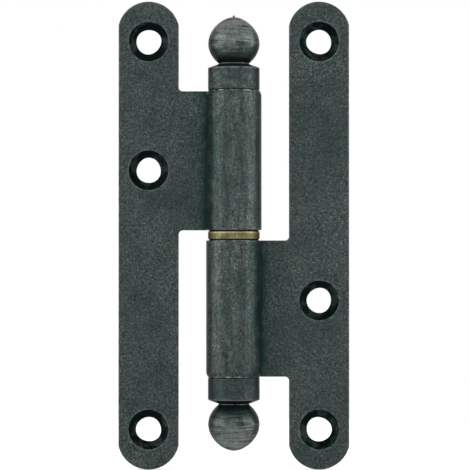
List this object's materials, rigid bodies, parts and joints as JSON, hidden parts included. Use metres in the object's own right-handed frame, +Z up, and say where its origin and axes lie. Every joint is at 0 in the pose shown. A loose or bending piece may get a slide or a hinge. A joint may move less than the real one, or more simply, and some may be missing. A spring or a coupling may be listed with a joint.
{
  "type": "paumelle hinge",
  "caption": "Lift-off hinge of blackened steel with round-ended leaves, rolled knuckles, a brass ring and ball finials.",
  "frame": {"origin": "on the pin's axis at the middle of the brass ring, which is the middle of the leaves' height and the centre of the bounding box", "axes": "+Z up along the pin, the way the door leaf lifts off; +X from the pin across the frame leaf, with the door leaf towards -X; -Y the way the countersunk faces look, +Y towards the wood"},
  "size_m": [0.0542, 0.013, 0.11],
  "materials": {
    "leaf_steel": "blackened, dull, with a fine pitted grain",
    "pin_steel": "bright drawn bar",
    "finial_steel": "blackened, with fine turning marks",
    "ring_brass": "dull, turned"
  },
  "bodies": {
    "frame_half": {"male_leaf": "leaf_steel", "pin": "pin_steel", "lower_finial": "finial_steel"},
    "ring": {"brass_ring": "ring_brass"},
    "door_half": {"female_leaf": "leaf_steel", "upper_finial": "finial_steel"}
  },
  "joints": [
    {"name": "leaf_swing", "type": "hinge", "parent": "frame_half", "child": "ring", "pos_m": [0, 0, 0], "axis": [0, 0, 1], "range_deg": [-140, 180]},
    {"name": "lift_off", "type": "slide", "parent": "ring", "child": "door_half", "axis": [0, 0, 1], "range_m": [0, 0.03]}
  ]
}
